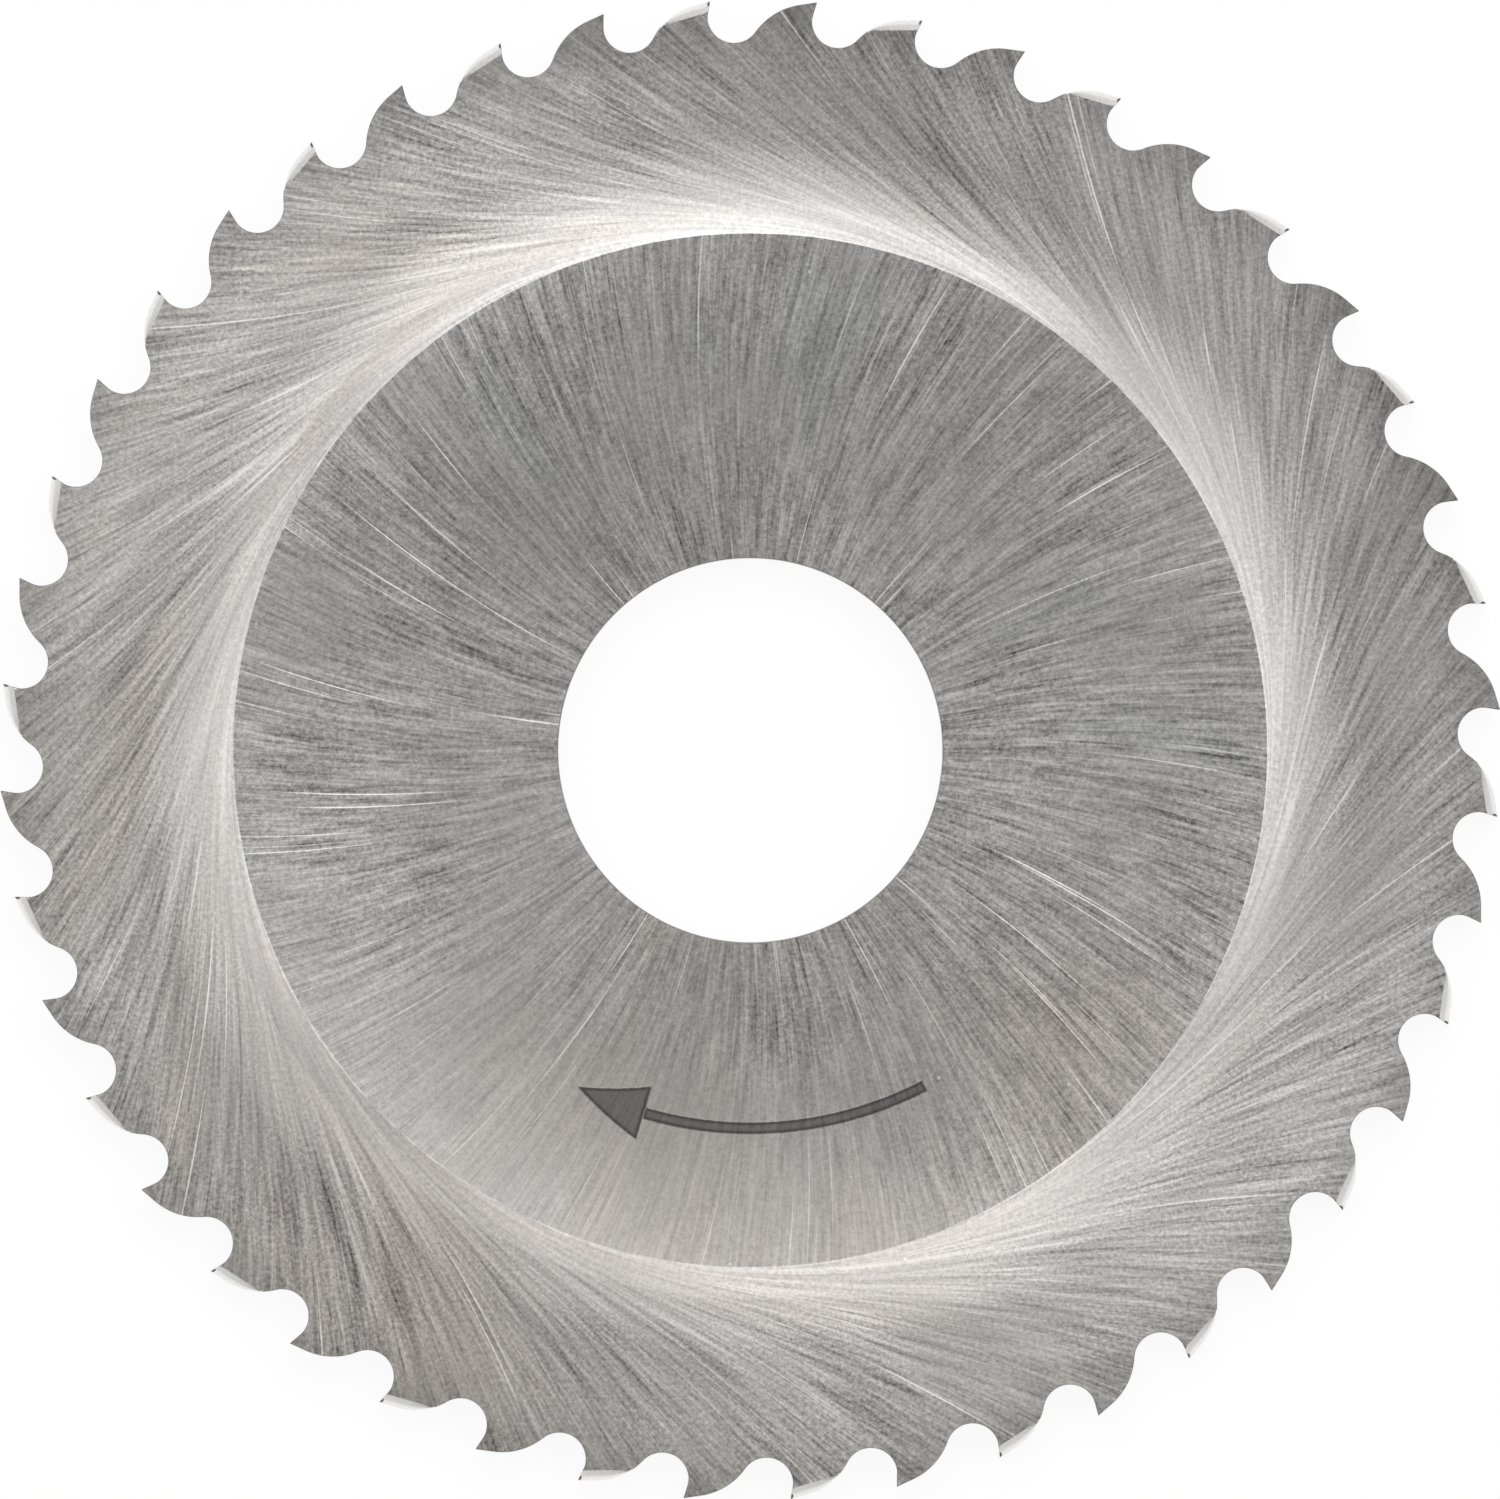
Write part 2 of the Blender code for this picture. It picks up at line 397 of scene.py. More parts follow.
def bake_places(places, heights, zones, sizes):
    """Places on the bake map for each face corner: faces by four corners by two.

    Hub and flanks are strips whose long side runs round the disc and whose short side runs out
    along the grooves, so that U follows every groove. The rings beside the hub and the walls are
    strips whose long side is U, because their grooves run round the disc.
    """
    rows, columns = places.shape
    side_rows = rows // 2
    hub = sizes.hub_diameter / 2
    start = hub + sizes.edge_ring
    radius = abs(places)
    spin = 2 * math.pi * np.arange(columns) / columns
    phase = np.angle(places * turned(-groove_turn(radius, sizes) - spin[None, :]))
    phase -= np.median(phase)
    phase = (phase + math.pi) % (2 * math.pi) - math.pi + spin[None, :]
    length = np.cumsum(abs(np.roll(places[side_rows - 1], -1) - places[side_rows - 1]))
    length = np.concatenate([[0], length]) / length[-1]

    def wrapped(values, last):
        """A row of values with the first column's again at the end, moved on by a turn."""
        return np.concatenate([values, values[:, :1] + last], axis=1)

    radius = wrapped(radius, 0)
    turn = wrapped(phase, 2 * math.pi) / (2 * math.pi)
    level = wrapped(heights, 0) / THICKNESS
    edge = np.broadcast_to(length, level.shape)
    row = np.arange(rows)[:, None, None] + np.array([0, 1, 1, 0])
    row = np.where(row == rows, 0, row)
    col = np.arange(columns)[None, :, None] + np.array([0, 0, 1, 1])
    radius, turn, level, edge = (values[row, col] for values in (radius, turn, level, edge))
    face_column = np.arange(columns)[None, :, None]

    zone = np.array(zones)
    is_lower = np.arange(rows) >= side_rows
    ring_height = 2 * (RING_STRIP_HEIGHT + MAP_GAP)
    wall_height = (WALL_STRIPS + 1) * (WALL_STRIP_HEIGHT + MAP_GAP)
    floor = ring_height + wall_height + MAP_GAP
    side_width = (
        HUB_STRIPS * (HUB_STRIP_WIDTH + MAP_GAP) + FLANK_STRIPS * (FLANK_STRIP_WIDTH + MAP_GAP)
    )
    uv = np.zeros((rows, columns, 4, 2))

    def upright(band, strips, low, high, left, width):
        """Strips side by side: U from the inner radius to the outer one, V round the disc."""
        strip = face_column * strips // columns
        out = (radius[band] - low) / (high - low)
        around = turn[band] * strips - strip
        around = (around + STRIP_PAD) / (1 + 2 * STRIP_PAD)
        uv[band, :, :, 0] = left + strip * (width + MAP_GAP) + out * width
        uv[band, :, :, 1] = floor + around * (1 - floor - MAP_GAP)

    def level_strip(band, across, around, bottom, height):
        """One strip along the foot of the map: U round the disc, V across the strip."""
        uv[band, :, :, 0] = MAP_GAP + around * (1 - 2 * MAP_GAP)
        uv[band, :, :, 1] = bottom + across * height

    for lower in (False, True):
        left = MAP_GAP + side_width * lower
        on_side = is_lower == lower
        band = on_side & np.isin(zone, ["hub", "bore_edge"])
        upright(band, HUB_STRIPS, BORE_RADIUS, hub, left, HUB_STRIP_WIDTH)
        band = on_side & np.isin(zone, ["flank", "bevel", "tooth_edge"])
        left += HUB_STRIPS * (HUB_STRIP_WIDTH + MAP_GAP)
        upright(band, FLANK_STRIPS, start, TIP_RADIUS, left, FLANK_STRIP_WIDTH)
        band = on_side & (zone == "ring")
        across = (radius[band] - hub + sizes.edge_break) / (start - hub + sizes.edge_break)
        bottom = MAP_GAP + lower * (RING_STRIP_HEIGHT + MAP_GAP)
        level_strip(band, across, turn[band], bottom, RING_STRIP_HEIGHT)

    bottom = ring_height + MAP_GAP
    band = zone == "bore_wall"
    level_strip(band, level[band], turn[band], bottom, WALL_STRIP_HEIGHT)
    band = zone == "tooth_wall"
    strip = face_column * WALL_STRIPS // columns
    bottom = bottom + (strip + 1) * (WALL_STRIP_HEIGHT + MAP_GAP)
    level_strip(band, level[band], edge[band] * WALL_STRIPS - strip, bottom, WALL_STRIP_HEIGHT)
    return uv.reshape(-1, 2)


def new_piece(name, points, faces, materials):
    """A mesh object at the origin made of four-sided faces."""
    mesh = bpy.data.meshes.new(name)
    mesh.from_pydata(points, [], faces)
    for material in materials:
        mesh.materials.append(material)
    mesh.shade_smooth()
    piece = bpy.data.objects.new(name, mesh)
    bpy.context.scene.collection.objects.link(piece)
    return piece


def blade_piece(sizes, materials):
    """The blade's closed grid as an object, with its materials by zone and its bake map."""
    places, heights, zones = blade_grid(sizes)
    rows, columns = places.shape
    points = np.stack([places.real, places.imag, heights], axis=-1).reshape(-1, 3)
    index = np.arange(rows * columns).reshape(rows, columns)
    out = np.roll(index, -1, axis=0)
    faces = np.stack([index, out, np.roll(out, -1, axis=1), np.roll(index, -1, axis=1)], axis=-1)
    order = ["hub", "flank", "bevel", "edge"]
    piece = new_piece(PIECE, points, faces.reshape(-1, 4), [materials[name] for name in order])

    look = {"hub": 0, "ring": 1, "flank": 1, "bevel": 1}
    material = np.array([look.get(zone, 3) for zone in zones])[:, None].repeat(columns, axis=1)
    inner = inset(ring_of(tooth_outline(sizes), sizes.tooth_count), sizes.edge_break)
    for band in np.flatnonzero(np.isin(zones, ["bevel", "tooth_edge"])):
        owner, bevelled = bevelled_columns(sizes.tooth_count, 1 if band < rows // 2 else 0)
        near = below_land(inner, owner, sizes) < sizes.bevel_width * BEVEL_SHARE
        near = bevelled & (near | np.roll(near, -1))
        material[band, near] = 2
    mesh = piece.data
    mesh.polygons.foreach_set("material_index", material.ravel().astype(np.int32))
    layer = mesh.uv_layers.new(name="OFBake")
    uv = bake_places(places, heights, zones, sizes)
    layer.uv.foreach_set("vector", uv.astype(np.float32).ravel())
    mesh.update()
    mesh.set_sharp_from_angle(angle=SMOOTH_ANGLE)
    return piece


# Materials


class Graph:
    """Short ways to add nodes to one material. Each returns the new node's output."""

    def __init__(self, name):
        self.material = bpy.data.materials.new(name)
        self.material.use_nodes = True
        self.tree = self.material.node_tree
        self.shader = self.tree.nodes["Principled BSDF"]

    def put(self, socket, value):
        """Link an output to a socket, or set the socket to a number or a colour."""
        if isinstance(value, bpy.types.NodeSocket):
            self.tree.links.new(value, socket)
        elif value is not None:
            socket.default_value = value

    def math(self, operation, first, second=None, third=None, clamp=False):
        node = self.tree.nodes.new("ShaderNodeMath")
        node.operation = operation
        node.use_clamp = clamp
        for socket, value in zip(node.inputs, (first, second, third)):
            self.put(socket, value)
        return node.outputs[0]

    def product(self, first, *others):
        """The product of several numbers, the first two first."""
        for other in others:
            first = self.math("MULTIPLY", first, other)
        return first

    def vector(self, operation, first, second=None, scale=None):
        node = self.tree.nodes.new("ShaderNodeVectorMath")
        node.operation = operation
        self.put(node.inputs[0], first)
        self.put(node.inputs[1], second)
        if scale is not None:
            self.put(node.inputs["Scale"], scale)
        return node.outputs["Value" if operation == "LENGTH" else "Vector"]

    def combine(self, x, y, z):
        node = self.tree.nodes.new("ShaderNodeCombineXYZ")
        for socket, value in zip(node.inputs, (x, y, z)):
            self.put(socket, value)
        return node.outputs[0]

    def separate(self, vector):
        node = self.tree.nodes.new("ShaderNodeSeparateXYZ")
        self.put(node.inputs[0], vector)
        return node.outputs

    def noise(self, vector, scale=1.0, detail=2.0, roughness=0.5):
        node = self.tree.nodes.new("ShaderNodeTexNoise")
        self.put(node.inputs["Vector"], vector)
        self.put(node.inputs["Scale"], scale)
        self.put(node.inputs["Detail"], detail)
        self.put(node.inputs["Roughness"], roughness)
        return node.outputs[0]

    def remap(self, value, low, high, to_low=0.0, to_high=1.0, smooth=False):
        node = self.tree.nodes.new("ShaderNodeMapRange")
        node.interpolation_type = "SMOOTHSTEP" if smooth else "LINEAR"
        for socket, entry in zip(node.inputs, (value, low, high, to_low, to_high)):
            self.put(socket, entry)
        return node.outputs[0]

    def toned(self, noise, tone, spread=0.2):
        """A noise that lies mostly within the spread around its middle, mapped to a range."""
        return self.remap(noise, 0.5 - spread, 0.5 + spread, *tone)

    def centred(self, noise):
        """A noise moved so that its middle is zero."""
        return self.math("SUBTRACT", noise, 0.5)

    def set(self, values):
        """Set or link the shader's sockets by name."""
        for name, value in values.items():
            self.put(self.shader.inputs[name], value)


def shaded(graph, colour, factor):
    """A colour multiplied by a number that varies over the surface."""
    return graph.vector("SCALE", colour, scale=factor)


def place_in_mm(graph):
    """Object coordinates in millimetres."""
    node = graph.tree.nodes.new("ShaderNodeTexCoord")
    return graph.vector("SCALE", node.outputs["Object"], scale=1 / MM)


def upper_side(graph, z):
    """1 on the upper half of the disc and 0 on the lower one."""
    return graph.math("GREATER_THAN", z, THICKNESS / 2 / MM)


def disc_coordinates(graph):
    """Object coordinates in millimetres, and from them the radius, the angle clockwise from +Y
    and a number that tells the upper side from the lower one."""
    place = place_in_mm(graph)
    x, y, z = graph.separate(place)
    radius = graph.vector("LENGTH", graph.combine(x, y, 0.0))
    angle = graph.math("ARCTAN2", x, y)
    return place, radius, angle, graph.product(upper_side(graph, z), SIDE_STEP)


def facing(graph, angle, turn):
    """Cosine of the angle from each place to a direction, both clockwise from +Y."""
    return graph.math("COSINE", graph.math("SUBTRACT", angle, turn))


def groove_streaks(graph, phase, spread, run, side, width, length, detail, roughness):
    """Streaks along the grooves, between about -0.5 and 0.5, of the same width everywhere.

    The noise is read on a cylinder: round it goes the groove's phase, along it the distance run.
    A cylinder that keeps its size would make streaks widen with the spread, the millimetres that
    one radian of phase covers. So two cylinders are blended, each twice as thick as the one
    before, chosen by the logarithm of the spread.
    """
    level = graph.math("LOGARITHM", graph.math("DIVIDE", spread, width), 2.0)
    whole = graph.math("FLOOR", level)
    part = graph.product(graph.math("SUBTRACT", level, whole), math.pi / 2)
    cosine = graph.math("COSINE", phase)
    sine = graph.math("SINE", phase)
    height = graph.math("MULTIPLY_ADD", run, 1 / length, side)
    parts = []
    for step, weighting in ((0.0, "COSINE"), (1.0, "SINE")):
        number = graph.math("ADD", whole, step)
        thick = graph.math("POWER", 2.0, number)
        spot = graph.combine(
            graph.product(thick, cosine), graph.product(thick, sine),
            graph.math("MULTIPLY_ADD", number, CYLINDER_STEP, height),
        )
        value = graph.centred(graph.noise(spot, 1.0, detail, roughness))
        parts.append((value, graph.math(weighting, part)))
    (near, near_weight), (far, far_weight) = parts
    return graph.math("MULTIPLY_ADD", far, far_weight, graph.product(near, near_weight))


def specks(graph, place, spacing, size):
    """Share of tiny round dots, one somewhere in each cell of the spacing, of any size up to the
    given one."""
    node = graph.tree.nodes.new("ShaderNodeTexVoronoi")
    graph.put(node.inputs["Vector"], place)
    graph.put(node.inputs["Scale"], 1 / spacing)
    pick, _, _ = graph.separate(node.outputs["Color"])
    edge = graph.product(graph.math("POWER", pick, 2.0), size / spacing)
    return graph.math("LESS_THAN", node.outputs["Distance"], edge)


def steel_skin(graph, finish, phase, lean, spread, run, side, place, contrast):
    """The grain that hub and flank share: two sets of streaks that cross at a small angle, long
    fine scratches, an even fine grain and a few bright specks.

    Returns the factor for the colour, the height for the bump, a slow tint along the grooves and
    the share of rare deep scratches, whose torn steel scatters the light.
    """
    width, length = finish.streak_width / MM, finish.streak_length / MM
    skew = graph.product(lean, finish.groove_skew)
    left = graph.math("ADD", phase, skew)
    right = graph.math("SUBTRACT", phase, skew)

    def streaks(turn, wide, long, detail, roughness):
        """Streaks whose width and length are shares of the broadest ones'."""
        return groove_streaks(
            graph, turn, spread, run, side, width * wide, length * long, detail, roughness)

    main = streaks(left, 1, 1, 3.0, finish.streak_fineness)
    crossing = streaks(right, CROSSING_WIDTH, CROSSING_LENGTH, 1.0, 1.0)
    hair = streaks(right, HAIR_WIDTH, HAIR_LENGTH, 0.0, 0.5)
    tint = streaks(left, TINT_WIDTH, 1, 0.0, 0.5)
    rare, deep = finish.scratch_threshold, finish.nick_threshold
    bright = graph.remap(hair, rare, rare + SCRATCH_RAMP)
    dark = graph.remap(hair, -rare, -rare - SCRATCH_RAMP)
    nick = graph.remap(hair, deep, deep + NICK_RAMP)
    grain = graph.centred(graph.noise(place, 1 / GRAIN_SIZE, 1.0, 0.9))
    dots = specks(graph, place, SPECK_SPACING, SPECK_SIZE)
    patches = graph.toned(graph.noise(place, 1 / PATCH_SIZE, 1.0), PATCH_TONE, spread=0.15)

    streak = graph.math("MULTIPLY_ADD", crossing, finish.crossing_share, main)
    tone = graph.product(streak, finish.streak_contrast)
    tone = graph.math("MULTIPLY_ADD", bright, finish.scratch_contrast, tone)
    tone = graph.math("MULTIPLY_ADD", dark, -DARK_SCRATCH * finish.scratch_contrast, tone)
    tone = graph.math("MULTIPLY_ADD", grain, finish.grain_contrast, tone)
    tone = graph.math("MULTIPLY_ADD", dots, finish.speck_contrast, tone)
    tone = graph.product(tone, graph.product(contrast, patches))
    factor = graph.math("ADD", tone, 1.0)
    height = graph.product(main, contrast)
    torn = graph.math("MULTIPLY", nick, contrast, clamp=True)
    return factor, height, tint, torn


def tinted(graph, colour, factor, tint, finish, warmth):
    """A colour times a factor, turned a little to warm or to cool by the tint and the warmth."""
    warm = graph.math("MULTIPLY_ADD", tint, finish.tint_contrast, warmth)
    red = graph.product(graph.math("ADD", 1.0, warm), factor)
    blue = graph.product(graph.math("SUBTRACT", 1.0, warm), factor)
    return graph.vector("MULTIPLY", colour, graph.combine(red, factor, blue))


def finish_steel(graph, colour, height, roughness, stretch, torn, finish):
    """Join colour, bump, groove direction and the share of torn steel to the shader."""
    bump = graph.tree.nodes.new("ShaderNodeBump")
    bump.inputs["Strength"].default_value = finish.bump_strength
    bump.inputs["Distance"].default_value = finish.bump_depth
    graph.put(bump.inputs["Height"], height)
    direction = graph.tree.nodes.new("ShaderNodeTangent")
    direction.direction_type = "UV_MAP"
    direction.uv_map = "OFBake"
    graph.set({
        "Base Color": colour, "Roughness": roughness, "Anisotropic": stretch,
        "Metallic": graph.math("MULTIPLY_ADD", torn, -finish.torn_share, 1.0, clamp=True),
        "Anisotropic Rotation": 0.25, "Normal": bump.outputs[0], "Tangent": direction.outputs[0],
    })


def direction_mark(graph, radius, angle, place, finish):
    """Share of a dark etched arrow that bends along the hub, and of the line inside its outline.

    The shaft is a band round the disc between two angles. The head is a triangle whose half
    width shrinks to nothing at its point. Both are distances in millimetres along and across the
    arc; the nearer of the two makes the outline.
    """
    ring = finish.mark_radius / MM
    half = finish.mark_length / MM / 2
    head = finish.mark_head / MM
    turn = graph.math("SUBTRACT", angle, math.pi + finish.mark_turn)
    unrolled = graph.product(graph.math("WRAP", turn, math.pi, -math.pi), ring)
    across = graph.math("ABSOLUTE", graph.math("SUBTRACT", radius, ring))
    beside = graph.math("SUBTRACT", across, finish.mark_stroke / MM / 2)
    from_middle = graph.math("ABSOLUTE", graph.math("ADD", unrolled, head / 2))
    shaft = graph.math("MAXIMUM", beside, graph.math("SUBTRACT", from_middle, half - head / 2))
    point = graph.math("SUBTRACT", unrolled, half)
    slant_along, slant_across = HEAD_SLANT
    wing = graph.math("MULTIPLY_ADD", point, slant_along, graph.product(across, slant_across))
    triangle = graph.math("MAXIMUM", wing, graph.math("SUBTRACT", -head, point))
    distance = graph.math("MINIMUM", shaft, triangle)
    wobble = graph.centred(graph.noise(place, WOBBLE_SCALE, 2.0, 0.6))
    distance = graph.math("MULTIPLY_ADD", wobble, WOBBLE_WIDTH, distance)
    _, _, z = graph.separate(place)
    upper = upper_side(graph, z)
    share = graph.remap(distance, *MARK_EDGE)
    from_rim = graph.math("ABSOLUTE", graph.math("ADD", distance, MARK_RIM_DEPTH))
    rim = graph.remap(from_rim, *MARK_RIM_FADE, 1.0, 0.0)
    return graph.product(share, upper), graph.product(rim, upper)


def hub_material(finish):
    """Hub face: grooves run outwards and bend a little; one dark etched arrow."""
    graph = Graph("hub_grind")
    place, radius, angle, side = disc_coordinates(graph)
    inverse, linear = HUB_GROOVE_BEND
    bend = graph.math(
        "ADD", graph.math("DIVIDE", inverse, radius), graph.product(radius, linear))
    phase = graph.math("SUBTRACT", angle, bend)
    lean = graph.math("LOGARITHM", radius, math.e)

    calm = graph.remap(facing(graph, angle, finish.calm_turn), *CALM_FACING, smooth=True)
    mark = finish.mark_radius / MM
    calm_start = graph.remap(radius, mark - CALM_FADE, mark, smooth=True)
    calm = graph.product(calm, calm_start)
    contrast = graph.math("MULTIPLY_ADD", calm, finish.calm_contrast - 1, 1.0)
    factor, height, tint, torn = steel_skin(
        graph, finish, phase, lean, radius, radius, side, place, contrast)
    clouds = graph.toned(graph.noise(place, CLOUD_SCALE, 1.0), HUB_CLOUD_TONE)
    # Painted light: the calmer stretch is made a little lighter
    gain = graph.math("MULTIPLY_ADD", calm, CALM_PAINTED_LIGHT, 1.0)

    etched, rim = direction_mark(graph, radius, angle, place, finish)
    dark = graph.math("MULTIPLY_ADD", etched, finish.mark_shade - 1, 1.0)
    dark_rim = graph.math("MULTIPLY_ADD", rim, -MARK_RIM_LOSS, 1.0)
    factor = graph.product(factor, clouds, gain, graph.product(dark, dark_rim))
    height = graph.math("MULTIPLY_ADD", etched, -MARK_DEPTH, height)
    roughness = graph.math("MULTIPLY_ADD", etched, MARK_ROUGHNESS, finish.hub_roughness)

    warm_facing = facing(graph, angle, finish.warm_turn)
    warmth = graph.remap(warm_facing, *WARM_FACING, 0.0, finish.warm_side, smooth=True)
    colour = tinted(graph, tuple(finish.hub_colour), factor, tint, finish, warmth)
    sideways = graph.math("ABSOLUTE", graph.math("SINE", angle))
    torn = graph.product(torn, graph.remap(sideways, *TORN_FACING, TORN_LEAST, 1.0))
    finish_steel(graph, colour, height, roughness, finish.hub_stretch, torn, finish)
    return graph.material


def flank_material(sizes, finish):
    """Flank: grooves leave the hub's edge along it and swing outwards; finest beside the hub, where a
    painted sheen lightens it.
    """
    graph = Graph("flank_grind")
    place, radius, angle, side = disc_coordinates(graph)
    hub = sizes.hub_diameter / 2 / MM
    rim = TIP_RADIUS / MM
    polish_and_sheen_end = finish.polish_and_sheen_width / MM
    beyond = graph.math("SUBTRACT", radius, hub - GROOVE_START)
    beyond = graph.math("MAXIMUM", beyond, GROOVE_START / 3)
    lean = graph.math("LOGARITHM", beyond, math.e)
    phase = graph.math("MULTIPLY_ADD", lean, FLANK_GROOVE_SWING, angle)
    round_share = graph.product(radius, FLANK_GROOVE_SWING)
    round_square = graph.math("POWER", round_share, 2.0)
    steep = graph.math("SQRT", graph.math("MULTIPLY_ADD", beyond, beyond, round_square))
    spread = graph.math("DIVIDE", graph.product(radius, beyond), steep)
    contrast = graph.remap(beyond, *FILLET_REACH, finish.fillet_contrast, 1.0, smooth=True)
    factor, height, tint, torn = steel_skin(
        graph, finish, phase, lean, spread, radius, side, place, contrast)

    ragged = graph.noise(place, 1 / RAGGED_SIZE, 4.0, 0.7)
    ragged = graph.remap(ragged, *RAGGED_NOISE, -GLINT_FADE, finish.ragged_width / MM)
    past_edge = graph.math("SUBTRACT", radius, hub)
    glint = graph.remap(graph.math("SUBTRACT", past_edge, ragged), 0.0, -GLINT_FADE)
    torn = graph.math("MAXIMUM", graph.product(torn, FLANK_TORN), glint)

    clouds = graph.toned(graph.noise(place, CLOUD_SCALE, 1.0), FLANK_CLOUD_TONE)
    # Painted sheen: the colour is made lighter beside the hub and stands in for the highlight there
    painted_sheen = graph.remap(beyond, POLISH_AND_SHEEN_START, polish_and_sheen_end, finish.painted_sheen_gain, 1.0)
    # The colour gets darker towards the tips
    darker_to_tips = graph.remap(
        radius, rim - finish.rim_band / MM, rim, 1.0, finish.rim_shade, smooth=True)
    factor = graph.product(factor, clouds, painted_sheen, darker_to_tips)
    roughness = graph.remap(
        beyond, POLISH_AND_SHEEN_START, polish_and_sheen_end, finish.fillet_roughness, finish.flank_roughness)
    warm_facing = facing(graph, angle, finish.flank_warm_turn)
    warmth = graph.product(warm_facing, finish.flank_warm_side)
    colour = tinted(graph, tuple(finish.flank_colour), factor, tint, finish, warmth)
    finish_steel(graph, colour, height, roughness, finish.flank_stretch, torn, finish)
    return graph.material


def plain_steel(graph, colour, factor, roughness):
    """Bright steel of a colour times a factor, without the long grooves."""
    graph.set({
        "Base Color": shaded(graph, tuple(colour), factor), "Metallic": 1.0,
        "Roughness": roughness,
    })
    return graph.material


def bevel_material(sizes, finish):
    """Corner bevels: freshly ground steel painted near white as a highlight, faintly mottled, with a dark
    spot at each tip.
    """
    graph = Graph("bevel_grind")
    place, radius, angle, side = disc_coordinates(graph)
    unrolled = graph.combine(graph.product(angle, BEVEL_MOTTLE_REACH), radius, side)
    mottle = graph.noise(unrolled, BEVEL_MOTTLE_SCALE, 2.0, 0.6)
    grain = graph.noise(place, 1 / BEVEL_GRAIN_SIZE, 1.0)
    mottle_tone = graph.toned(mottle, BEVEL_MOTTLE_TONE, spread=0.25)
    grain_tone = graph.toned(grain, BEVEL_GRAIN_TONE, spread=0.3)
    pitch = 2 * math.pi / sizes.tooth_count
    tooth = graph.math("DIVIDE", graph.math("SUBTRACT", math.pi / 2, angle), pitch)
    past_tip = graph.math("SUBTRACT", tooth, graph.math("ROUND", tooth))
    past_tip = graph.product(past_tip, pitch * TIP_RADIUS / MM)
    # A darker round spot at each bevelled tip
    size = finish.tip_spot_size / MM
    below_tip = graph.math("SUBTRACT", TIP_RADIUS / MM - size, radius)
    tip_spot = graph.vector("LENGTH", graph.combine(past_tip, below_tip, 0.0))
    tip_spot = graph.remap(tip_spot, size, size * TIP_SPOT_CORE, 1.0, finish.tip_spot_shade)
    factor = graph.product(mottle_tone, grain_tone, tip_spot)
    roughness = graph.toned(mottle, BEVEL_ROUGHNESS, spread=0.3)
    # The bevel's colour is painted near white, a painted highlight on its ground steel
    return plain_steel(graph, finish.bevel_colour_and_highlight, factor, roughness)


def edge_material(finish):
    """Tooth faces, gullets, lands, the bore and all broken edges: steel painted darker as shade, with
    lines from side to side."""
    graph = Graph("edge_grind")
    place = place_in_mm(graph)
    x, y, z = graph.separate(place)
    flattened = graph.combine(x, y, graph.product(z, EDGE_LINE_FLATTEN))
    lines = graph.noise(flattened, EDGE_LINE_SCALE, 2.0, 0.6)
    grain = graph.noise(place, 1 / EDGE_GRAIN_SIZE, 1.0)
    line_tone = graph.toned(lines, EDGE_LINE_TONE, spread=0.25)
    grain_tone = graph.toned(grain, EDGE_GRAIN_TONE, spread=0.3)
    factor = graph.product(line_tone, grain_tone)
    roughness = graph.toned(lines, EDGE_ROUGHNESS, spread=0.3)
    # The walls' colour is painted darker, as shade
    return plain_steel(graph, finish.edge_colour_and_shade, factor, roughness)


# Studio


def lamp(name, azimuth, elevation, distance, size, power):
    """A square soft lamp aimed at the blade's middle. Azimuth is clockwise from +Y."""
    data = bpy.data.lights.new(name, "AREA")
    data.shape = "SQUARE"
    data.size = size
    data.energy = power
    lit = bpy.data.objects.new(name, data)
    level = math.cos(elevation) * distance
    lit.location = (math.sin(azimuth) * level, math.cos(azimuth) * level,
                    THICKNESS + math.sin(elevation) * distance)
    lit.rotation_euler = (math.pi / 2 - elevation, 0.0, math.pi - azimuth)
    bpy.context.scene.collection.objects.link(lit)
    return lit


def floor_material(studio):
    """Pale even floor. A camera or a mirror-like surface sees it mostly at the backdrop's own
    strength; the rest is lit by the lamps, so that the blade's shadow stays."""
    graph = Graph("pale_floor")
    tree = graph.tree
    clouds = graph.toned(graph.noise(place_in_mm(graph), FLOOR_CLOUD_SCALE), FLOOR_CLOUD_TONE)
    colour = shaded(graph, tuple(studio.floor_colour), clouds)
    graph.set({"Base Color": colour, "Roughness": 0.9, "Specular IOR Level": 0.0})
    glow = tree.nodes.new("ShaderNodeEmission")
    glow.inputs["Color"].default_value = (1.0, 1.0, 1.0, 1.0)
    glow.inputs["Strength"].default_value = 1.0
    path = tree.nodes.new("ShaderNodeLightPath")
    seen = graph.math("ADD", path.outputs["Is Camera Ray"], path.outputs["Is Glossy Ray"])
    seen = graph.math("ADD", seen, path.outputs["Is Transmission Ray"], clamp=True)
    blend = tree.nodes.new("ShaderNodeMixShader")
    graph.put(blend.inputs[0], graph.math("MULTIPLY", seen, studio.floor_glow))
    graph.put(blend.inputs[1], graph.shader.outputs[0])
    graph.put(blend.inputs[2], glow.outputs[0])
    graph.put(tree.nodes["Material Output"].inputs["Surface"], blend.outputs[0])
    return graph.material


def studio_floor(studio):
    """A square floor just under the blade, as a grid of points."""
    reach = studio.floor_size / 2
    line = np.linspace(-reach, reach, FLOOR_POINTS)
    x, y = np.meshgrid(line, line, indexing="ij")
    points = np.stack([x, y, np.full_like(x, FLOOR_HEIGHT)], axis=-1).reshape(-1, 3)
    index = np.arange(x.size).reshape(x.shape)
    faces = np.stack([index[:-1, :-1], index[1:, :-1], index[1:, 1:], index[:-1, 1:]], axis=-1)
    return new_piece("studio_floor", points, faces.reshape(-1, 4), [floor_material(studio)])


def studio_world(studio):
    """Even pale surroundings."""
    world = bpy.data.worlds.new("studio_world")
    world.use_nodes = True
    background = world.node_tree.nodes["Background"]
    background.inputs["Color"].default_value = (1.0, 1.0, 1.0, 1.0)
    background.inputs["Strength"].default_value = studio.world_strength
    bpy.context.scene.world = world


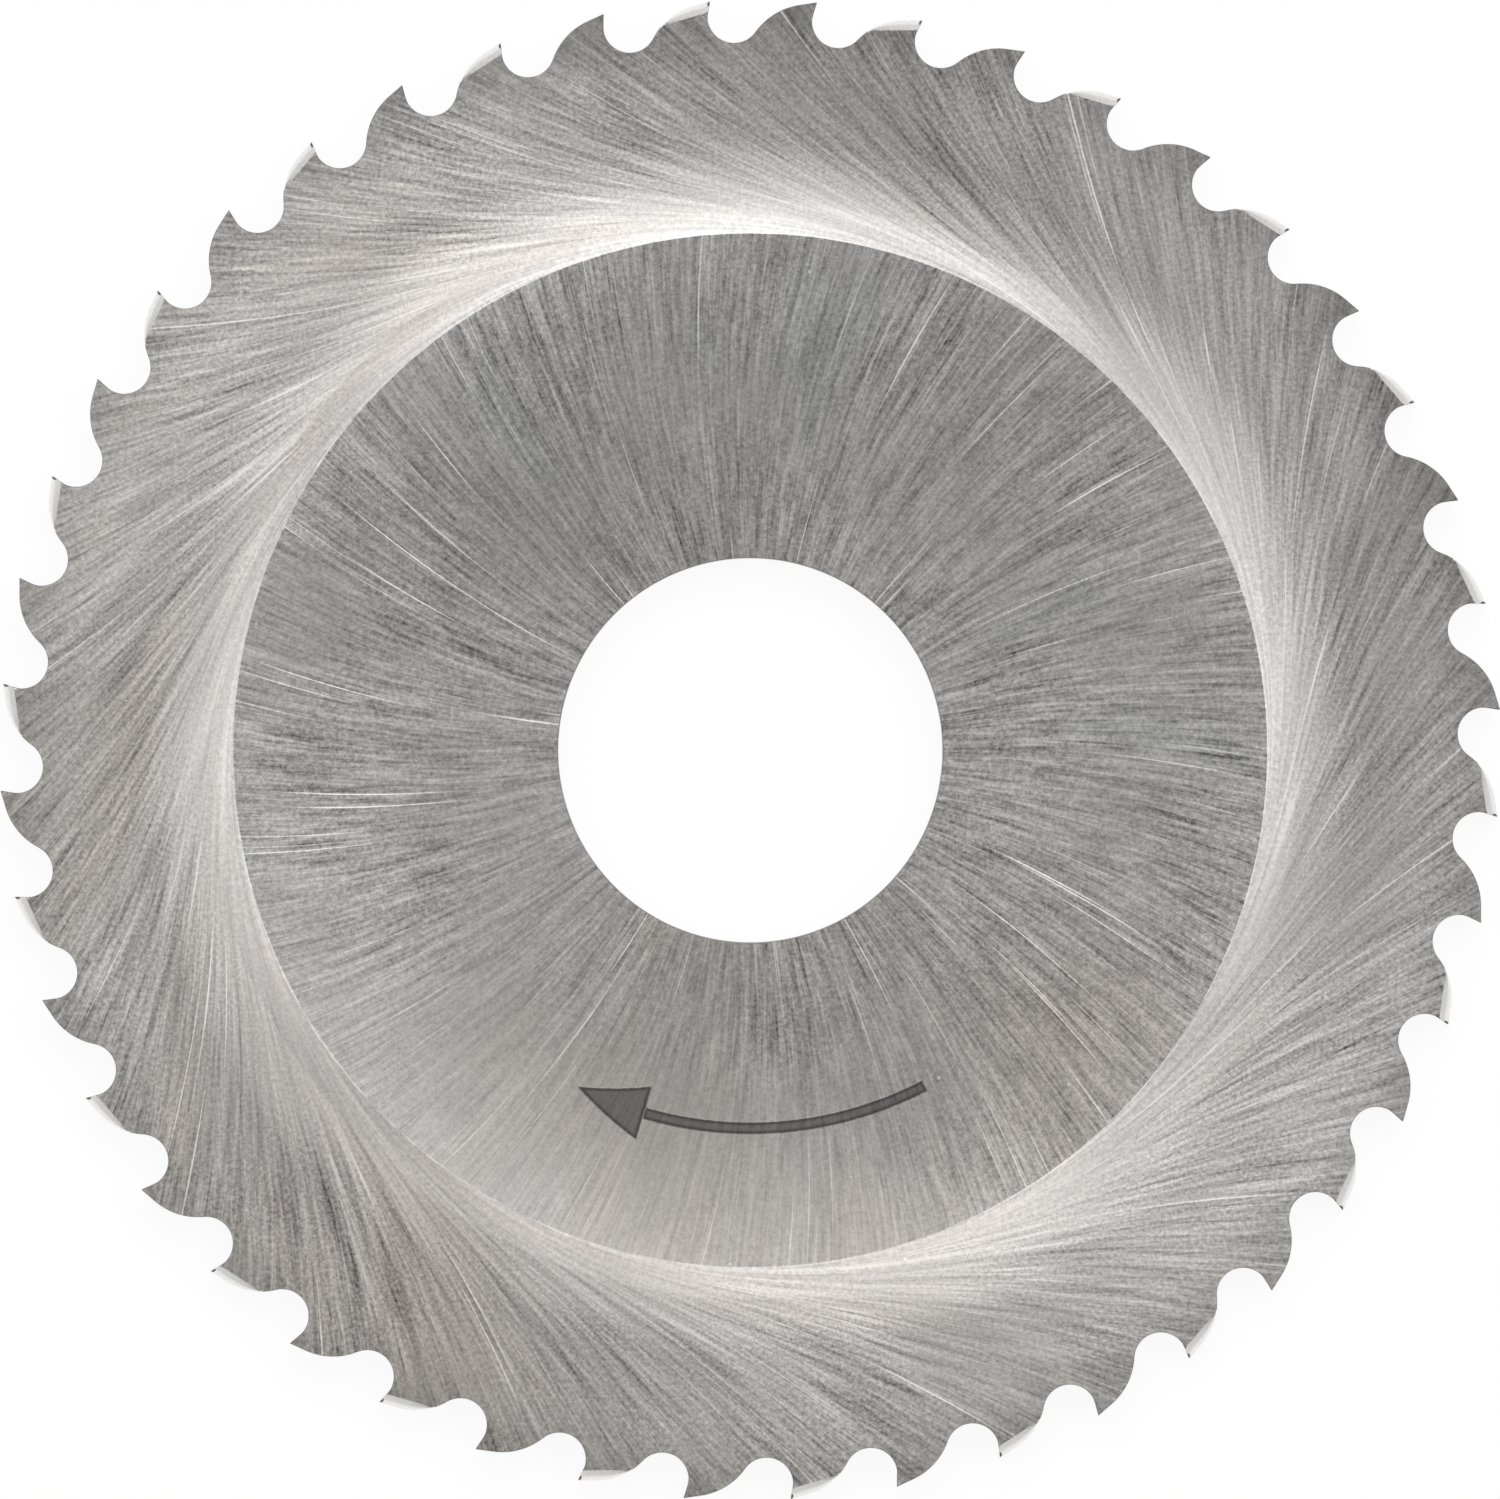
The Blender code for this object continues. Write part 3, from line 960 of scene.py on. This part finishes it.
def studio_camera(studio):
    """A long lens straight above the blade. The picture is 1500 by 1499 and its scale is given
    in its pixels for each millimetre on the blade's upper face."""
    data = bpy.data.cameras.new("studio_camera")
    data.sensor_width = 36.0
    width = PICTURE_WIDTH / studio.pixels_per_mm * MM
    data.lens = data.sensor_width * studio.camera_distance / width
    data.clip_start = 0.01
    data.clip_end = 100.0
    camera = bpy.data.objects.new("studio_camera", data)
    offset = complex(*studio.picture_offset) / studio.pixels_per_mm * MM
    offset *= turned(-studio.picture_roll)
    camera.location = (offset.real, offset.imag, THICKNESS + studio.camera_distance)
    camera.rotation_euler = (0.0, 0.0, -studio.picture_roll)
    bpy.context.scene.collection.objects.link(camera)
    bpy.context.scene.camera = camera


# Settings


def length_prop(name, text, value):
    return bpy.props.FloatProperty(
        name=name, description=text, default=value, min=0.0, precision=5, subtype="DISTANCE",
        unit="LENGTH")


def angle_prop(name, text, value):
    return bpy.props.FloatProperty(
        name=name, description=text, default=value, subtype="ANGLE", unit="ROTATION")


def number_prop(name, text, value):
    return bpy.props.FloatProperty(name=name, description=text, default=value)


def share_prop(name, text, value):
    return bpy.props.FloatProperty(
        name=name, description=text, default=value, min=0.0, max=1.0, subtype="FACTOR")


def colour_prop(name, text, value):
    return bpy.props.FloatVectorProperty(
        name=name, description=text, default=value, size=3, min=0.0, max=1.0, subtype="COLOR")


class SawSizes(bpy.types.PropertyGroup):
    """Sizes of the blade that the frame's box doesn't give."""

    hub_diameter: length_prop("Hub diameter", "Across the flat hub", 43.0 * MM)
    fillet_width: length_prop("Fillet width", "Width of the hollow beside the hub's edge", 3.4 * MM)
    edge_ring: length_prop("Edge ring", "Width beside the hub where grooves run round the disc", 1.3 * MM)
    flank_taper: length_prop("Flank taper", "Depth of a flank beside the hub", 0.10 * MM)
    flank_hollow: length_prop("Flank hollow", "Extra depth half way up a flank", 0.01 * MM)
    tooth_count: bpy.props.IntProperty(
        name="Teeth", description="Number of teeth", default=44, min=8)
    tooth_depth: length_prop("Tooth depth", "From a tip to the bottom of a gullet", 1.8 * MM)
    gullet_radius: length_prop("Gullet radius", "Radius of a gullet", 1.1 * MM)
    land_length: length_prop("Land length", "Straight land behind a tip", 0.74 * MM)
    rake_angle: angle_prop("Rake", "Lean of a tooth's face", 13 * DEGREE)
    clearance_angle: angle_prop("Clearance", "Fall of the land behind a tip", 13.5 * DEGREE)
    bevel_width: length_prop("Bevel width", "Width of a corner bevel, seen from above", 0.45 * MM)
    bevel_angle: angle_prop("Bevel angle", "Slope of a corner bevel", 45 * DEGREE)
    edge_break: length_prop("Edge break", "Width of the broken edges", 0.025 * MM)
    rim_margin: length_prop("Rim margin", "From the last round row of the grid to a gullet", 0.35 * MM)


class SawFinish(bpy.types.PropertyGroup):
    """Finish of the ground steel."""

    hub_colour: colour_prop("Hub", "Colour of the hub", (0.624, 0.612, 0.597))
    flank_colour: colour_prop("Flank", "Colour of the flanks", (0.631, 0.607, 0.583))
    # The bevels' colour is near white as a painted highlight
    bevel_colour_and_highlight: colour_prop("Bevel", "Colour of the corner bevels", (0.90, 0.885, 0.86))
    # Walls and broken edges are painted darker than the flanks, as shade
    edge_colour_and_shade: colour_prop("Edge", "Colour of walls and broken edges", (0.34, 0.335, 0.328))
    hub_roughness: share_prop("Hub roughness", "Roughness of the hub", 0.275)
    flank_roughness: share_prop("Flank roughness", "Roughness of the flank near the teeth", 0.275)
    fillet_roughness: share_prop("Fillet roughness", "Roughness beside the hub's edge", 0.38)
    hub_stretch: share_prop("Hub stretch", "How far the hub's shine is drawn out", 0.50)
    flank_stretch: share_prop("Flank stretch", "How far the flank's shine is drawn out", 0.85)
    polish_and_sheen_width: length_prop("Polish width", "Width of the finer finish and painted sheen beside the hub", 4.1 * MM)
    # The gain is a painted sheen that lightens the colour beside the hub
    painted_sheen_gain: number_prop("Painted sheen gain", "Brightness of the painted sheen beside the hub", 1.31)
    fillet_contrast: share_prop("Fillet contrast", "Strength of streaks beside the hub", 0.5)
    # Over this band the flank's colour gets darker towards the tips
    rim_band: length_prop("Rim band", "Width of the darker band at the teeth", 3.3 * MM)
    rim_shade: share_prop("Rim shade", "Brightness at the tips against the flank's own", 0.72)
    streak_width: length_prop("Streak width", "Width of the broadest grinding streaks", 0.7 * MM)
    streak_length: length_prop("Streak length", "Length of the longest grinding streaks", 10 * MM)
    streak_fineness: number_prop("Streak fineness", "Strength of finer streaks against broad ones", 1.5)
    streak_contrast: number_prop("Streak contrast", "Strength of the streaks", 1.35)
    crossing_share: number_prop("Crossing share", "Strength of the second set of streaks", 1.0)
    groove_skew: number_prop("Groove skew", "How far the two sets of streaks lean apart", 0.03)
    grain_contrast: number_prop("Grain contrast", "Strength of the even grain", 1.35)
    scratch_contrast: number_prop("Scratch contrast", "Strength of the fine scratches", 0.9)
    scratch_threshold: number_prop("Scratch threshold", "How rare the fine scratches are", 0.24)
    nick_threshold: number_prop("Nick threshold", "How rare the deep scratches are", 0.275)
    torn_share: share_prop("Torn share", "How far torn steel scatters light like a pale solid", 0.5)
    ragged_width: length_prop("Ragged width", "Reach of the ragged hub edge", 0.16 * MM)
    calm_contrast: share_prop("Calm contrast", "Strength of streaks round the etched arrow", 0.45)
    calm_turn: angle_prop("Calm turn", "Middle of the calmer stretch, clockwise from +Y", 195 * DEGREE)
    speck_contrast: number_prop("Speck contrast", "Brightness of the specks", 1.2)
    tint_contrast: number_prop("Tint contrast", "Strength of warm and cool bands", 0.05)
    warm_side: number_prop("Warm side", "Warmth of the hub's warmer half", 0.03)
    warm_turn: angle_prop("Warm turn", "Middle of the warmer half, clockwise from +Y", 170 * DEGREE)
    flank_warm_side: number_prop("Flank warm side", "Swing of the flank's warmth round the disc", 0.012)
    flank_warm_turn: angle_prop(
        "Flank warm turn", "Where the flank is warmest, clockwise from +Y", 235 * DEGREE)
    # A darker round spot at each bevelled tip, of this radius and brightness
    tip_spot_size: length_prop("Tip spot size", "Radius of the dark spot at a bevelled tip", 0.14 * MM)
    tip_spot_shade: share_prop("Tip spot shade", "Brightness of that spot against the bevel", 0.12)
    bump_strength: share_prop("Bump strength", "Strength of the relief", 0.25)
    bump_depth: length_prop("Bump depth", "Depth of the relief", 0.01 * MM)
    mark_radius: length_prop("Mark radius", "Radius of the etched arrow's middle line", 15.7 * MM)
    mark_turn: angle_prop("Mark turn", "Turn of the etched arrow from -Y, clockwise", 3 * DEGREE)
    mark_length: length_prop("Mark length", "Length of the etched arrow", 15.0 * MM)
    mark_head: length_prop("Mark head", "Length of the arrow's head", 3.0 * MM)
    mark_stroke: length_prop("Mark stroke", "Width of the arrow's shaft", 0.5 * MM)
    mark_shade: share_prop("Mark shade", "Brightness of the etched steel against the bare one", 0.25)


class SawStudio(bpy.types.PropertyGroup):
    """Floor, lamps and camera."""

    floor_size: length_prop("Floor size", "Side of the floor", 16.0)
    floor_colour: colour_prop("Floor", "Colour of the floor", (0.93, 0.93, 0.93))
    floor_glow: share_prop("Floor glow", "Share of the floor that is seen at full white", 0.92)
    world_strength: number_prop("World", "Strength of the pale surroundings", 0.18)
    key_power: number_prop("Key power", "Power of a key lamp, in watts", 0.8)
    lamp_distance: length_prop("Lamp distance", "From the blade's middle to each lamp", 0.5)
    pixels_per_mm: number_prop("Scale", "Picture pixels for each millimetre of the blade", 24.07)
    picture_roll: angle_prop("Roll", "Turn of the blade in the picture", 3.09 * DEGREE)
    picture_offset: bpy.props.FloatVectorProperty(
        name="Offset", description="Picture's middle from the blade's, in pixels", size=2,
        default=(-0.3, 0.8))
    camera_distance: length_prop("Camera distance", "From the lens to the upper face", 0.45)


# Operators and panel


class SAW_OT_ground_blade(bpy.types.Operator):
    """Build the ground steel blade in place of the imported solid"""

    bl_idname = "slitting_saw.ground_blade"
    bl_label = "Ground Blade"

    def execute(self, context):
        sizes, finish = context.scene.saw_sizes, context.scene.saw_finish
        piece = blade_piece(sizes, {
            "hub": hub_material(finish), "flank": flank_material(sizes, finish),
            "bevel": bevel_material(sizes, finish), "edge": edge_material(finish),
        })
        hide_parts(NODE)
        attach(piece, BODY)
        return {"FINISHED"}


class SAW_OT_studio(bpy.types.Operator):
    """Build the floor, the surroundings, the lamps and the camera"""

    bl_idname = "slitting_saw.studio"
    bl_label = "Studio"

    def execute(self, context):
        studio = context.scene.saw_studio
        studio_floor(studio)
        studio_world(studio)
        for name, azimuth, elevation, side, power_share in LAMPS:
            lamp(name, azimuth * DEGREE, elevation * DEGREE, studio.lamp_distance, side,
                 power_share * studio.key_power)
        studio_camera(studio)
        context.scene.view_settings.view_transform = "Standard"
        return {"FINISHED"}


class SAW_PT_looks(bpy.types.Panel):
    """Lists the saw's builders and their settings"""

    bl_idname = "SAW_PT_looks"
    bl_label = "Slitting Saw"
    bl_space_type = "VIEW_3D"
    bl_region_type = "UI"
    bl_category = "Slitting Saw"

    def draw(self, context):
        for operator, groups in (
            (SAW_OT_ground_blade, ("saw_sizes", "saw_finish")), (SAW_OT_studio, ("saw_studio",)),
        ):
            self.layout.operator(operator.bl_idname)
            for group in groups:
                settings = getattr(context.scene, group)
                box = self.layout.box()
                for name in settings.__annotations__:
                    box.prop(settings, name)


CLASSES = (SawSizes, SawFinish, SawStudio, SAW_OT_ground_blade, SAW_OT_studio, SAW_PT_looks)


def register():
    for entry in CLASSES:
        bpy.utils.register_class(entry)
    bpy.types.Scene.saw_sizes = bpy.props.PointerProperty(type=SawSizes)
    bpy.types.Scene.saw_finish = bpy.props.PointerProperty(type=SawFinish)
    bpy.types.Scene.saw_studio = bpy.props.PointerProperty(type=SawStudio)


def unregister():
    del bpy.types.Scene.saw_studio
    del bpy.types.Scene.saw_finish
    del bpy.types.Scene.saw_sizes
    for entry in reversed(CLASSES):
        bpy.utils.unregister_class(entry)


def main():
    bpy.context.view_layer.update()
    register()
    bpy.ops.slitting_saw.ground_blade()
    bpy.ops.slitting_saw.studio()
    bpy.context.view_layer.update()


if __name__ == "__main__":
    main()
